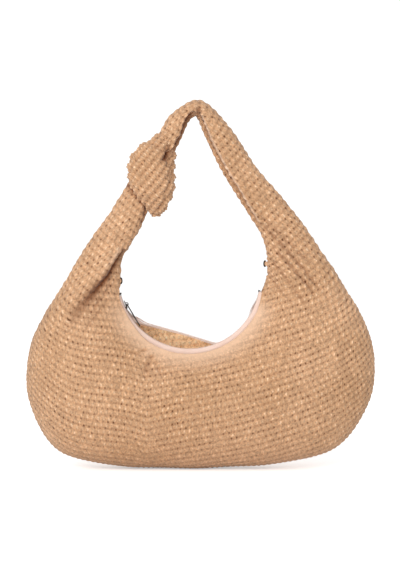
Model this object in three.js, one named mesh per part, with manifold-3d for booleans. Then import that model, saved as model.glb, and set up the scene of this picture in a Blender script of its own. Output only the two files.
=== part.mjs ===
// Knotted hobo bag: two soft knitted panels that run up into a knotted shoulder handle, over a lining sack,
// with a curved zip in the mouth and two small D-rings. Millimetres, +Z up, X along the bag's length,
// the front faces -Y, and the origin is on the ground under the middle of the bag.
//
// The bag's skin is drawn as ribs. A rib crosses the crescent from its inner edge (the mouth, or the inside
// of the handle) to its outer edge. A place along the crescent is a rib's number, counted from the knot, down
// the left strap, round the body, up the right strap, over the top and down to the knot again.
import * as THREE from "three";
import { mergeVertices } from "three/addons/utils/BufferGeometryUtils.js";
import Module from "manifold-3d";

// Driving dimensions.
const KNIT = 3; // thickness of the knitted panels
const LINING = 0.9; // thickness of the lining cloth
const GAP = 0.35; // clearance between neighbouring pieces
const SEAM_Z = 256; // height of the shoulders, where the straps leave the panels
const FOLD_R = 13; // radius of the straps' rounded feet, which roll on the fold axis
const FOLD_Z = SEAM_Z + FOLD_R + 1; // height of the axis about which the handle flops over
const LIP_Y = 7; // half the gap between the two lips where the zip is shut
const LIP = { x: -13, z: 228, r: 89.5 }; // circle of the lips
const COIL = { x: -13, z: 229, r: 84.8 }; // circle of the zip's coils
const ZIP_FROM = 193.5; // angles of the zip's ends, in degrees from +X
const ZIP_TO = 350;
const MOUTH_OPEN = 34; // how far the back lip stands away from the front lip
const TAUT = { z: 155, slope: -0.3, ease: 1.5 }; // line along which the back lip is pulled taut, and its blend
const SLIDER_AT = 202.5; // where the slider rests, near the bottom stop
const PULL_REST = 8.4; // angle between the resting pull and the slider
const RAD = Math.PI / 180;

// The ribs: [inner x, inner z, outer x, outer z, half thickness]. The zip's ribs get their inner ends below.
const RIBS = [
  [-54, 330, -82, 346, 13],
  [-70, 296, -110, 307, 13],
  [-84, 272, -130, 278, 13.2],
  [-95, SEAM_Z, -142, SEAM_Z, 14],
  [-99.5, 232, -166, 216, 21],
  [0, 0, -187, 183, 28],
  [0, 0, -205, 140, 35],
  [0, 0, -205, 80, 41],
  [0, 0, -169, 20, 45],
  [0, 0, -90, 1, 47],
  [0, 0, -12, -3, 47],
  [0, 0, 80, 2, 46],
  [0, 0, 160, 23, 44],
  [0, 0, 202, 78, 40],
  [0, 0, 208, 135, 35],
  [0, 0, 195, 180, 28],
  [81, 232, 170, 221, 21],
  [82, SEAM_Z, 149, SEAM_Z, 14],
  [72, 282, 130, 284, 13.2],
  [48, 319, 98, 328, 13],
  [25, 357, 67, 363, 13],
  [6, 396, 38, 406, 14],
  [-4, 421, -2, 441, 18],
  [-16, 413, -38, 423, 15],
  [-24, 397, -52, 401, 13],
  [-34, 378, -62, 382, 13],
];
const LEFT_SHOULDER = 3;
const LEFT_ZIP = 5;
const RIGHT_ZIP = 15;
const RIGHT_SHOULDER = 17;
const turnAt = (place) => ZIP_FROM + ((ZIP_TO - ZIP_FROM) * (place - LEFT_ZIP)) / (RIGHT_ZIP - LEFT_ZIP);
for (let i = LEFT_ZIP; i <= RIGHT_ZIP; i++) {
  RIBS[i][0] = LIP.x + LIP.r * Math.cos(turnAt(i) * RAD);
  RIBS[i][1] = LIP.z + LIP.r * Math.sin(turnAt(i) * RAD);
}

// The knot's sections, from the bottom up: [z, left x, right x, half depth].
const KNOT = [
  [303, -57, -49, 4],
  [309, -62, -44, 12],
  [318, -69, -39, 19],
  [330, -80, -32, 24],
  [342, -87, -31, 26],
  [358, -87, -31, 26],
  [372, -84, -30, 25],
  [382, -77, -29, 21],
  [389, -69, -32, 15],
  [393, -60, -39, 7],
];

const wasm = await Module();
wasm.setup();
const smooth = (from, to, value) => THREE.MathUtils.smoothstep(value, from, to);
const mix = THREE.MathUtils.lerp;
const evenSteps = (count, from, to) => Array.from({ length: count + 1 }, (_, i) => mix(from, to, i / count));

// Places across a rib, closer together at both edges, where the skin turns.
const acrossSteps = (count, from = 0, to = 1) =>
  evenSteps(count, 0, Math.PI).map((angle) => mix(from, to, (1 - Math.cos(angle)) / 2));

// The rib at any place between the listed ones, by a Catmull-Rom spline through them.
function ribAt(place) {
  const last = RIBS.length - 1;
  const i = Math.min(Math.floor(place), last - 1);
  const t = place - i;
  const near = [i - 1, i, i + 1, i + 2].map((k) => RIBS[THREE.MathUtils.clamp(k, 0, last)]);
  return near[1].map((_, k) => {
    const [a, b, c, d] = near.map((rib) => rib[k]);
    return b + 0.5 * t * (c - a + t * (2 * a - 5 * b + 4 * c - d + t * (3 * (b - c) + d - a)));
  });
}

// How the back lip is pulled back and up from the shut zip, at a place along the zip. Where the taut line runs
// above the lip's circle, the lip is lifted to the line.
function opening(place) {
  const along = THREE.MathUtils.clamp((place - LEFT_ZIP) / (RIGHT_ZIP - LEFT_ZIP), 0, 1);
  const turn = mix(ZIP_FROM, ZIP_TO, along) * RAD;
  const above = TAUT.z + TAUT.slope * LIP.r * Math.cos(turn) - (LIP.z + LIP.r * Math.sin(turn));
  const lifted = TAUT.ease * Math.log1p(Math.exp(above / TAUT.ease));
  return new THREE.Vector3(0, MOUTH_OPEN * Math.sin(Math.PI * along) ** 1.5, lifted);
}

// A point of the knit's outer face. across runs from 0 at the inner edge to 1 at the outer edge, and side is
// -1 for the front and 1 for the back.
function skin(place, across, side) {
  const [ix, iz, ox, oz, half] = ribAt(place);
  const lip = smooth(LEFT_ZIP - 0.5, LEFT_ZIP, place) * (1 - smooth(RIGHT_ZIP, RIGHT_ZIP + 0.5, place));
  const sack = smooth(LEFT_SHOULDER + 0.5, 7, place) * (1 - smooth(13, RIGHT_SHOULDER - 0.5, place));
  const edge = lip * (LIP_Y + KNIT);
  const strap = half * Math.max(0, 1 - Math.abs(2 * across - 1) ** 2.4) ** 0.5;
  const rise = Math.sin((Math.PI / 2) * Math.min(1, across / 0.55));
  const belly = (edge + (half - edge) * rise) * Math.max(0, 1 - across ** 4) ** 0.5;
  const y = mix(Math.max(strap, edge * (1 - across)), belly, sack);
  const point = new THREE.Vector3(mix(ix, ox, across), side * Math.max(y, GAP), mix(iz, oz, across));
  if (side < 0) return point;
  const open = opening(place);
  point.y += open.y * (1 - rise);
  point.z += open.z * (1 - smooth(0, 0.6, across));
  return point;
}

// The skin moved inwards by a depth, square to itself, and kept on its own side of the middle.
function inside(place, across, side, depth) {
  const step = 0.01;
  const [p0, p1] = [Math.max(place - step * 5, 0), Math.min(place + step * 5, RIBS.length - 1)];
  const [a0, a1] = [Math.max(across - step, 0), Math.min(across + step, 1)];
  const alongRib = skin(place, a1, side).sub(skin(place, a0, side));
  const alongBag = skin(p1, across, side).sub(skin(p0, across, side));
  const out = alongBag.cross(alongRib).normalize().multiplyScalar(side);
  const moved = skin(place, across, side).addScaledVector(out, -depth);
  moved.y = side * Math.max(side * moved.y, GAP);
  return moved;
}

// An indexed geometry whose faces point out.
function closed(points, faces) {
  let volume = 0;
  for (let i = 0; i < faces.length; i += 3) {
    const [a, b, c] = [0, 1, 2].map((k) => points[faces[i + k]]);
    volume += a.dot(b.clone().cross(c));
  }
  if (volume < 0) for (let i = 0; i < faces.length; i += 3) [faces[i], faces[i + 1]] = [faces[i + 1], faces[i]];
  const geometry = new THREE.BufferGeometry();
  geometry.setAttribute("position", new THREE.Float32BufferAttribute(points.flatMap((p) => [p.x, p.y, p.z]), 3));
  geometry.setIndex(faces);
  return geometry;
}

// The faces that join each ring of points to the next.
function wall(rings, looped) {
  const n = rings[0].length;
  const faces = [];
  for (let i = 0; i < (looped ? rings.length : rings.length - 1); i++)
    for (let j = 0; j < n; j++) {
      const k = (j + 1) % n;
      const next = ((i + 1) % rings.length) * n;
      faces.push(i * n + j, i * n + k, next + j, i * n + k, next + k, next + j);
    }
  return faces;
}

// A solid skinned over rings of points. It has flat ends, or joins up with itself when it is looped.
function tube(rings, looped = false) {
  const n = rings[0].length;
  const points = rings.flat();
  const faces = wall(rings, looped);
  if (looped) return closed(points, faces);
  for (const start of [0, (rings.length - 1) * n]) {
    const centre = points.length;
    points.push(points.slice(start, start + n).reduce((sum, p) => sum.addScaledVector(p, 1 / n), new THREE.Vector3()));
    for (let j = 0; j < n; j++) {
      const [a, b] = [start + j, start + ((j + 1) % n)];
      faces.push(...(start ? [a, b, centre] : [b, a, centre]));
    }
  }
  return closed(points, faces);
}

// A sheet of cloth with thickness, between two grids of points that face each other.
function sheet(face, back) {
  const rings = face.map((row, i) => [...row, ...back[i].slice().reverse()]);
  const n = rings[0].length;
  const faces = wall(rings, false);
  for (const start of [0, (rings.length - 1) * n])
    for (let j = 0; j + 1 < n / 2; j++) {
      const [a, b, c, d] = [start + j, start + j + 1, start + n - 2 - j, start + n - 1 - j];
      faces.push(...(start ? [a, b, c, a, c, d] : [b, a, c, c, a, d]));
    }
  return closed(rings.flat(), faces);
}

// Between three.js geometry and manifold-3d solids, for cuts and joins.
function solid(geometry) {
  const bare = geometry.clone();
  for (const name of ["normal", "uv"]) bare.deleteAttribute(name);
  const merged = mergeVertices(bare, 1e-4);
  const vertProperties = new Float32Array(merged.attributes.position.array);
  const triVerts = new Uint32Array(merged.index.array);
  return new wasm.Manifold(new wasm.Mesh({ numProp: 3, vertProperties, triVerts }));
}
function geometryOf(made) {
  const { vertProperties, triVerts } = made.getMesh();
  const geometry = new THREE.BufferGeometry();
  geometry.setAttribute("position", new THREE.Float32BufferAttribute(Array.from(vertProperties), 3));
  geometry.setIndex(Array.from(triVerts));
  return geometry;
}
const box = (sx, sy, sz, x, y, z) => new THREE.BoxGeometry(sx, sy, sz).translate(x, y, z);

// Materials.
const material = (color, roughness, metalness) => new THREE.MeshStandardMaterial({ color, roughness, metalness });
const knitMaterial = material(0xcfa27c, 0.95, 0);
const liningMaterial = material(0xd9a679, 0.9, 0);
const tapeMaterial = material(0xf0d6c8, 0.85, 0);
const coilMaterial = material(0xecd2c2, 0.5, 0);
const metalMaterial = material(0x3b3634, 0.3, 0.9);
const labelMaterial = material(0xf4efe6, 0.8, 0);

const bag = new THREE.Group();
function add(name, geometry, finish, parent = bag) {
  const mesh = new THREE.Mesh(geometry, finish);
  mesh.name = name;
  parent.add(mesh);
}

// Cloth that follows the skin at a depth below it.
function clothAt(side, places, across, depth, thickness) {
  const grid = (d) => places.map((place) => across.map((a) => (d ? inside(place, a, side, d) : skin(place, a, side))));
  return [grid(depth), grid(depth + thickness)];
}

// Knitted panels, from the lip to the outer seam, between the two shoulders, resting flat on the ground.
const ground = solid(box(600, 300, 40, 0, 0, -20));
for (const [name, side] of [["front_panel", -1], ["back_panel", 1]]) {
  const [face, back] = clothAt(side, evenSteps(44, LEFT_SHOULDER, RIGHT_SHOULDER), acrossSteps(9), 0, KNIT);
  for (const row of [face[0], back[0], face.at(-1), back.at(-1)]) for (const point of row) point.z = SEAM_Z - GAP;
  add(name, geometryOf(solid(sheet(face, back)).subtract(ground)), knitMaterial);
}

// Lining sack, in two halves, with a slip pocket and a blank care label on its back half.
const liningDepth = KNIT + 1.8;
const pocketDepth = liningDepth + LINING + 1.6;
const liningPlaces = evenSteps(26, LEFT_ZIP + 0.2, RIGHT_ZIP - 0.2);
for (const [name, side] of [["lining_front", -1], ["lining_back", 1]])
  add(name, sheet(...clothAt(side, liningPlaces, acrossSteps(7, 0.04, 0.97), liningDepth, LINING)), liningMaterial);
add("slip_pocket", sheet(...clothAt(1, evenSteps(8, 8.4, 11.6), evenSteps(4, 0.22, 0.7), pocketDepth, LINING)),
  liningMaterial);
add("care_label", sheet(...clothAt(1, evenSteps(2, 12.3, 12.75), evenSteps(3, 0.3, 0.5), pocketDepth, 0.6)),
  labelMaterial);

// Pieces that follow a lip. A section's corner is [distance from the middle, height above the lip's circle],
// and a height may depend on the reach, which is the distance from the lip to the coils.
function lipPoint(turn, side, [across, height]) {
  const aim = new THREE.Vector3(Math.cos(turn * RAD), 0, Math.sin(turn * RAD));
  const root = new THREE.Vector3(LIP.x, 0, LIP.z).addScaledVector(aim, LIP.r);
  const up = new THREE.Vector3(COIL.x, 0, COIL.z).addScaledVector(aim, COIL.r).sub(root);
  const reach = up.length();
  root.addScaledVector(up.normalize(), height(reach)).setY(side * across);
  const place = LEFT_ZIP + ((turn - ZIP_FROM) / (ZIP_TO - ZIP_FROM)) * (RIGHT_ZIP - LEFT_ZIP);
  return side < 0 ? root : root.add(opening(place));
}
const alongLip = (turns, side, section) => tube(turns.map((turn) => section.map((corner) => lipPoint(turn, side, corner))));
const rise = (value) => () => value;
const atCoil = (value) => (reach) => reach + value;
const bindingSection = [
  [LIP_Y + KNIT, rise(0.5)],
  [LIP_Y - 0.4, rise(0.5)],
  [LIP_Y - 0.4, rise(2.6)],
  [LIP_Y + 1, rise(3.4)],
  [LIP_Y + KNIT, rise(2.4)],
];
const tapeSection = [
  [6.2, rise(-3)],
  [5.5, rise(-3)],
  [3.1, atCoil(0.3)],
  [3.8, atCoil(0.3)],
];
const coilSection = evenSteps(6, 0, 360)
  .slice(1)
  .map((angle) => [1.75 + 1.05 * Math.cos(angle * RAD), atCoil(1.05 * Math.sin(angle * RAD))]);
const blockSection = (from, to, half) => [
  [from, atCoil(-half)],
  [to, atCoil(-half)],
  [to, atCoil(half)],
  [from, atCoil(half)],
];
for (const [end, side] of [["front", -1], ["back", 1]]) {
  const turns = evenSteps(32, ZIP_FROM + 1, ZIP_TO - 1);
  add(`rim_binding_${end}`, alongLip(turns, side, bindingSection), tapeMaterial);
  add(`zip_tape_${end}`, alongLip(turns, side, tapeSection), tapeMaterial);
  add(`zip_coil_${end}`, alongLip(evenSteps(40, ZIP_FROM + 0.3, ZIP_TO - 1.6), side, coilSection), coilMaterial);
  const stopTurns = [ZIP_TO - 1.3, ZIP_TO + 0.2];
  add(`zip_top_stop_${end}`, alongLip(stopTurns, side, blockSection(0.5, 2.7, 1.3)), metalMaterial);
}
add("zip_bottom_stop", alongLip([ZIP_FROM - 1.6, ZIP_FROM], -1, blockSection(-2.7, 2.7, 1.4)), metalMaterial);

// Slider: X runs along the zip in the direction of travel and Z points to the coils' centre. Two plates are
// joined by a neck at the leading end, and an arched bridge on the upper plate holds the pull.
const PLATE = 1;
const CHANNEL = 1.7; // from the coils' middle to each plate
const SLIDER_LENGTH = 10;
const BRIDGE = { radius: 2, wire: 0.5, z: CHANNEL + PLATE + 0.6 };
const slider = new THREE.Group();
slider.position.set(COIL.x + COIL.r * Math.cos(SLIDER_AT * RAD), 0, COIL.z + COIL.r * Math.sin(SLIDER_AT * RAD));
slider.rotation.y = -(SLIDER_AT + 90) * RAD;
bag.add(slider);
function sliderPlate(half) {
  const l = SLIDER_LENGTH / 2;
  const outline = [[-l, half - 1.2], [0, half], [l - 1.5, half], [l, half - 1.7]];
  const corners = [...outline, ...outline.map(([x, y]) => [x, -y]).reverse()];
  const shape = new THREE.Shape(corners.map(([x, y]) => new THREE.Vector2(x, y)));
  return new THREE.ExtrudeGeometry(shape, { depth: PLATE, bevelEnabled: false });
}
function bridge() {
  const disc = (point, across) =>
    evenSteps(8, 0, 2 * Math.PI)
      .slice(1)
      .map((angle) =>
        point
          .clone()
          .addScaledVector(across, BRIDGE.wire * Math.cos(angle))
          .add(new THREE.Vector3(0, BRIDGE.wire * Math.sin(angle), 0)),
      );
  const foot = (x) => disc(new THREE.Vector3(x, 0, CHANNEL + PLATE / 2), new THREE.Vector3(Math.sign(x), 0, 0));
  const arch = evenSteps(8, 0, Math.PI).map((angle) => {
    const aim = new THREE.Vector3(Math.cos(angle), 0, Math.sin(angle));
    return disc(new THREE.Vector3(0, 0, BRIDGE.z).addScaledVector(aim, BRIDGE.radius), aim);
  });
  const flip = new THREE.Vector3(-1, 0, 0);
  return tube([foot(BRIDGE.radius), ...arch, disc(new THREE.Vector3(-BRIDGE.radius, 0, CHANNEL + PLATE / 2), flip)]);
}
const sliderSolid = solid(sliderPlate(4).translate(0, 0, CHANNEL))
  .add(solid(sliderPlate(3.4).translate(0, 0, -CHANNEL - PLATE)))
  .add(solid(box(2.4, 0.7, 2 * CHANNEL + PLATE, SLIDER_LENGTH / 2 - 1.3, 0, 0)))
  .add(solid(bridge()));
add("zip_slider", geometryOf(sliderSolid), metalMaterial, slider);

// Pull: a slim bar whose slotted end hangs on the bridge. Its own X runs along it from the swing axis.
const PULL = { length: 31, half: 2.4, thick: 1.2, slotHalf: 1, slotFrom: 0.5, slotTo: 3.5 };
const pull = new THREE.Group();
pull.position.z = BRIDGE.z + 0.3;
pull.rotation.y = -PULL_REST * RAD;
slider.add(pull);
const pullShape = new THREE.Shape();
pullShape.moveTo(-0.5, -PULL.half + 0.4);
pullShape.lineTo(6, -PULL.half);
pullShape.lineTo(PULL.length - PULL.half, -PULL.half);
pullShape.absarc(PULL.length - PULL.half, 0, PULL.half, -Math.PI / 2, Math.PI / 2, false);
pullShape.lineTo(6, PULL.half);
pullShape.lineTo(-0.5, PULL.half - 0.4);
const slot = [[PULL.slotFrom, -1], [PULL.slotFrom, 1], [PULL.slotTo, 1], [PULL.slotTo, -1]];
pullShape.holes.push(new THREE.Path(slot.map(([x, s]) => new THREE.Vector2(x, s * PULL.slotHalf))));
const pullExtrude = { depth: PULL.thick, bevelEnabled: false, curveSegments: 6 };
add("zip_pull", new THREE.ExtrudeGeometry(pullShape, pullExtrude).translate(0, 0, -PULL.thick / 2), metalMaterial, pull);

// D-rings in their tabs, at the ends of the mouth. Each has its straight bar upright and bows to the middle.
const RING = { wire: 0.75, bow: 4, half: 3.6, rest: 60 }; // rest: angle by which a ring rests turned to the front
const TAB = { bore: RING.wire + GAP, outer: 1.9, half: 2.4, leg: 3 };
function dRing() {
  const bow = evenSteps(8, -75, 75).map((angle) => [
    0.3 + (RING.bow - 0.3) * Math.cos(angle * RAD),
    RING.half * Math.sin(angle * RAD),
  ]);
  const path = [[0, -2.6], ...bow.map(([x, z]) => [x, z]), [0, 2.6]].map(([x, z]) => new THREE.Vector3(x, 0, z));
  return tube(
    path.map((point, i) => {
      const along = path[(i + 1) % path.length].clone().sub(path.at(i - 1)).normalize();
      const side = new THREE.Vector3(along.z, 0, -along.x);
      return evenSteps(8, 0, 2 * Math.PI)
        .slice(1)
        .map((angle) =>
          point
            .clone()
            .addScaledVector(side, RING.wire * Math.cos(angle))
            .add(new THREE.Vector3(0, RING.wire * Math.sin(angle), 0)),
        );
    }),
    true,
  );
}
function ringTab() {
  const shape = new THREE.Shape();
  shape.moveTo(-TAB.leg, -TAB.outer);
  shape.lineTo(0, -TAB.outer);
  shape.absarc(0, 0, TAB.outer, -Math.PI / 2, Math.PI / 2, false);
  shape.lineTo(-TAB.leg, TAB.outer);
  shape.holes.push(new THREE.Path().absarc(0, 0, TAB.bore, 0, 2 * Math.PI, true));
  const extrude = { depth: 2 * TAB.half, bevelEnabled: false, curveSegments: 8 };
  return new THREE.ExtrudeGeometry(shape, extrude).translate(0, 0, -TAB.half);
}
for (const [end, x, z, flip, way] of [["left", -95.6, 226, 0, -1], ["right", 77.6, 246.5, Math.PI, 1]]) {
  const mount = new THREE.Group();
  mount.position.set(x, 0, z);
  mount.rotation.z = flip;
  bag.add(mount);
  const swivel = new THREE.Group();
  swivel.rotation.z = way * RING.rest * RAD;
  mount.add(swivel);
  add(`d_ring_${end}`, dRing(), metalMaterial, swivel);
  add(`d_ring_tab_${end}`, ringTab(), knitMaterial, mount);
}

// Handle: the knot, and the two straps that run into it. Each strap has a rounded foot, which rolls on the
// fold axis, and is hollowed at its other end to fit against the knot.
function knot(grow) {
  const rings = KNOT.map(([z, left, right, depth], i) => {
    const level = z + (i === 0 ? -grow : i === KNOT.length - 1 ? grow : 0);
    const [middle, half] = [(left + right) / 2, (right - left) / 2 + grow];
    return evenSteps(20, 0, 360)
      .slice(1)
      .map((angle) => {
        const [c, s] = [Math.cos(angle * RAD), Math.sin(angle * RAD)];
        const bulge = Math.abs(c) ** 2.5 + Math.abs(s) ** 2.5;
        const reach = bulge ** -0.4;
        return new THREE.Vector3(middle + half * reach * c, (depth + grow) * reach * s, level);
      });
  });
  return tube(rings);
}
const knotRoom = solid(knot(0.5));
const footRound = solid(new THREE.CylinderGeometry(FOLD_R, FOLD_R, 600, 40).rotateZ(Math.PI / 2).translate(0, 0, FOLD_Z));
const footTrim = solid(box(600, 200, 100, 0, 0, FOLD_Z - 50)).subtract(footRound);
function strap(from, to, count) {
  const across = acrossSteps(8);
  const ring = (place) => [
    ...across.map((a) => skin(place, a, -1)),
    ...across.slice(1, -1).reverse().map((a) => skin(place, a, 1)),
  ];
  return geometryOf(solid(tube(evenSteps(count, from, to).map(ring))).subtract(knotRoom).subtract(footTrim));
}
add("strap_left", strap(0, LEFT_SHOULDER + 0.05, 10), knitMaterial);
add("strap_right", strap(RIGHT_SHOULDER - 0.05, RIBS.length - 1, 30), knitMaterial);
add("knot", knot(0), knitMaterial);

export default bag;
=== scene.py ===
"""Looks of the knotted hobo bag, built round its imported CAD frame.

Shapes are worked out in millimetres, in the CAD frame, and turned to metres when a mesh is made.
The knit is laid out on ribs. A rib crosses the crescent from its inner edge (the mouth, or the inside of the
handle) to its outer edge. A place is a rib's number, counted from the knot, down the left strap, round the
sack, up the right strap, over the top and down to the knot. Across runs from 0 at the inner edge to 1 at the
outer edge. Side is -1 on the front and 1 on the back.
"""

import bmesh
import bpy
import numpy as np
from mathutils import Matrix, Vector


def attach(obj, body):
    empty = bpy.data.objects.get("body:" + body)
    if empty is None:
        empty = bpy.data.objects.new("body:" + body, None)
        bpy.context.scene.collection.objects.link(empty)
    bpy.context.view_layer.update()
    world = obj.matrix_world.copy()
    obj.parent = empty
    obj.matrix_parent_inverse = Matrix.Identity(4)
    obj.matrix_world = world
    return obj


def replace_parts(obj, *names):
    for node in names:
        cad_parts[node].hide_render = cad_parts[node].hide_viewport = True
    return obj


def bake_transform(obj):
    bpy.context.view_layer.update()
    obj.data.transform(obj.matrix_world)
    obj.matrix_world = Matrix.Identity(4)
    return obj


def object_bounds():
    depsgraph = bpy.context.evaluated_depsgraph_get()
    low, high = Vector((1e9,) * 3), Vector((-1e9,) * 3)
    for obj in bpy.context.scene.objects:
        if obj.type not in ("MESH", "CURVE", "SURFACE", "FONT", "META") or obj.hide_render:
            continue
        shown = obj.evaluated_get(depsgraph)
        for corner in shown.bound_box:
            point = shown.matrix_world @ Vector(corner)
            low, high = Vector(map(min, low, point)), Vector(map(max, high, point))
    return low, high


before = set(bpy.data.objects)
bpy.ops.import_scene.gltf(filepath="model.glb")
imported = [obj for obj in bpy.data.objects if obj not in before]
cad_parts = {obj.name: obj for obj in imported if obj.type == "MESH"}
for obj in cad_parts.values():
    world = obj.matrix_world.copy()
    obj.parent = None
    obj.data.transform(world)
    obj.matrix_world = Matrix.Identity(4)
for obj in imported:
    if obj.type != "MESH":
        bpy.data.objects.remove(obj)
cad_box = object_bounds()

MM = 0.001
KNIT = 3.0  # thickness of the knitted panels
LIP_Y = 7.0  # half the gap between the lips where the zip is shut
LIP = (-13.0, 228.0, 89.5)  # circle of the lips: x, z, radius
COIL = (-13.0, 229.0, 84.8)  # circle of the zip's coils
ZIP_FROM, ZIP_TO = 193.5, 350.0  # angles of the zip's ends, in degrees from +X
MOUTH_OPEN = 34.0  # how far the middle of the back lip is pulled back from the shut zip
TAUT_Z, TAUT_SLOPE, TAUT_EASE = 155.0, -0.3, 1.5  # line along which the back lip is pulled taut
STITCH = 6.5  # width of a stitch along its row
ROW = 8.0  # distance from one row of stitches to the next
RELIEF = 0.8  # how far a stitch stands out of the knit

# The ribs: [inner x, inner z, outer x, outer z, half thickness]. The zip's ribs get their inner ends below.
RIBS = np.array([
    [-53, 333, -81, 350, 13],
    [-66.5, 299, -106, 310, 13],
    [-80.5, 274, -126, 283, 13.5],
    [-94, 250, -143, 256, 15],
    [-96.5, 228, -164, 221, 20],
    [0, 0, -187, 184, 28],
    [0, 0, -205, 141, 35],
    [0, 0, -205, 80, 41],
    [0, 0, -169, 21, 45],
    [0, 0, -90, 3, 47],
    [0, 0, -12, 1, 47],
    [0, 0, 80, 5, 46],
    [0, 0, 160, 24, 44],
    [0, 0, 201, 79, 40],
    [0, 0, 208, 135, 35],
    [0, 0, 193, 184, 28],
    [80, 234, 171, 221, 21],
    [79.5, 258, 146, 259, 15],
    [72, 283, 124, 292, 13.5],
    [54, 311, 94.5, 329, 13],
    [28, 353, 67, 361, 13],
    [8, 393, 38, 404, 14],
    [-4, 421, 1, 441, 17],
    [-14, 416, -33, 426, 15],
    [-21.5, 399, -47.5, 404, 13],
    [-32, 377, -60, 385, 13],
], float)
LEFT_ZIP, RIGHT_ZIP = 5, 15
LEAN = np.radians(118)  # how far the back tape folds outwards where the mouth is open
ZIP_RIBS = np.arange(LEFT_ZIP, RIGHT_ZIP + 1)
PANEL_FROM, PANEL_TO = 3.0, 17.0  # places where the panels hand over to the straps
BELLY_FROM, BELLY_TO = 7, 13  # places between which a rib's section is the sack's full belly
BELLY_RISE = 0.55  # share of the way across a rib by which the belly has risen from the lip
STRAP_ROUND = 2.4  # a strap's section: 2 would be an ellipse, and more is squarer
TOP = 22  # place of the handle's top


def smooth(a, b, value):
    t = np.clip((value - a) / (b - a), 0, 1)
    return t * t * (3 - 2 * t)


def unit(vectors):
    """Vectors of length 1 in the same directions."""
    return vectors / np.maximum(np.linalg.norm(vectors, axis=-1, keepdims=True), 1e-9)


def walked(points):
    """Lengths walked along each row of points, from 0."""
    steps = np.linalg.norm(np.diff(points, axis=-2), axis=-1)
    return np.concatenate([0 * steps[..., :1], steps.cumsum(-1)], -1)


def zip_angle(place):
    """Direction from the circles' middle to a place on the zip, in radians from +X."""
    return np.radians(ZIP_FROM + (ZIP_TO - ZIP_FROM) * (place - LEFT_ZIP) / (RIGHT_ZIP - LEFT_ZIP))


RIBS[ZIP_RIBS, 0] = LIP[0] + LIP[2] * np.cos(zip_angle(ZIP_RIBS))
RIBS[ZIP_RIBS, 1] = LIP[1] + LIP[2] * np.sin(zip_angle(ZIP_RIBS))


def rib_at(place):
    """The rib at any place between the listed ones, by a Catmull-Rom spline through them."""
    last = len(RIBS) - 1
    i = np.minimum(np.floor(place).astype(int), last - 1)
    t = (place - i)[..., None]
    a, b, c, d = (RIBS[np.clip(i + k, 0, last)] for k in (-1, 0, 1, 2))
    return b + 0.5 * t * (c - a + t * (2 * a - 5 * b + 4 * c - d + t * (3 * (b - c) + d - a)))


def opening(place):
    """How far the back lip is pulled back, and up to its taut line, from the shut zip."""
    along = np.clip((place - LEFT_ZIP) / (RIGHT_ZIP - LEFT_ZIP), 0, 1)
    turn = np.radians(ZIP_FROM + (ZIP_TO - ZIP_FROM) * along)
    above = TAUT_Z + TAUT_SLOPE * LIP[2] * np.cos(turn) - LIP[1] - LIP[2] * np.sin(turn)
    return MOUTH_OPEN * np.sin(np.pi * along) ** 1.5, TAUT_EASE * np.log1p(np.exp(above / TAUT_EASE))


def bare_skin(place, across, side):
    """Points of the knit's outer face without folds or stitches. place and across are broadcast together."""
    ix, iz, ox, oz, half = np.moveaxis(rib_at(place), -1, 0)
    lip = smooth(LEFT_ZIP - 0.5, LEFT_ZIP, place) * (1 - smooth(RIGHT_ZIP, RIGHT_ZIP + 0.5, place))
    sack = smooth(PANEL_FROM + 0.5, BELLY_FROM, place) * (1 - smooth(BELLY_TO, PANEL_TO - 0.5, place))
    edge = lip * (LIP_Y + KNIT)
    strap = half * np.sqrt(np.clip(1 - np.abs(2 * across - 1) ** STRAP_ROUND, 0, None))
    rise = np.sin(np.pi / 2 * np.minimum(1, across / BELLY_RISE))
    belly = (edge + (half - edge) * rise) * np.sqrt(np.clip(1 - across**4, 0, None))
    y = np.maximum(strap, edge * (1 - across)) * (1 - sack) + belly * sack
    x = ix + (ox - ix) * across
    z = iz + (oz - iz) * across
    if side > 0:
        back, up = opening(place)
        y = y + back * (1 - rise)
        z = z + up * (1 - smooth(0, 0.6, across))
    return np.stack([x, side * y, z], -1)


# --- Stitch layout ------------------------------------------------------------------------------------------

# Slope of the rows of stitches on the sack, in degrees, from the left side to the right side.
ROW_SLOPES = [
    (-250, -44), (-205, -42), (-168, -34), (-144, -14), (-120, -4), (-84, -10), (-68, -22), (-60, 14),
    (0, 10), (60, 15), (110, 18), (145, 24), (175, 32), (205, 38), (250, 40),
]
# Direction of the rows on the straps, from the inner edge to the outer edge: (place, degrees from +X).
ROW_AIMS = [
    (0, 139), (4.2, 139), (5.5, 150), (6.5, 163), (14.5, 26), (15.5, 33), (17, 40), (19, 45), (20.7, 44),
    (21.4, 56), (22, 90), (22.7, 125), (23.4, 145), (25, 147),
]
LEFT_JOIN, RIGHT_JOIN = 4.9, 16.0  # places where the sack's rows turn into the straps' rows


def row_tables():
    """Even steps of x, with the length along a row and the height of a row at each."""
    x = np.linspace(-250, 250, 1001)
    slope = np.radians(np.interp(x, *zip(*ROW_SLOPES)))
    step = x[1] - x[0]
    return x, np.cumsum(1 / np.cos(slope)) * step, np.cumsum(np.tan(slope)) * step


def row_aim(place):
    """Unit vectors along the straps' rows, and square to them."""
    angle = np.radians(np.interp(place, *zip(*ROW_AIMS)))
    c, s = np.cos(angle), np.sin(angle)
    return np.stack([c, s], -1), np.stack([-s, c], -1)


def spine_tables():
    """Even steps of place, the rib's middle at each, and the lengths walked along and square to the rows."""
    place = np.linspace(0, len(RIBS) - 1, 2001)
    ribs = rib_at(place)
    middle = (ribs[:, 0:2] + ribs[:, 2:4]) / 2
    lengths = [(np.gradient(middle, axis=0) * aim).sum(-1).cumsum() for aim in row_aim(place)]
    return place, middle, lengths


ROW_X, ROW_LENGTH, ROW_HEIGHT = row_tables()
SPINE_PLACE, SPINE, SPINE_WALKED = spine_tables()


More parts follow.
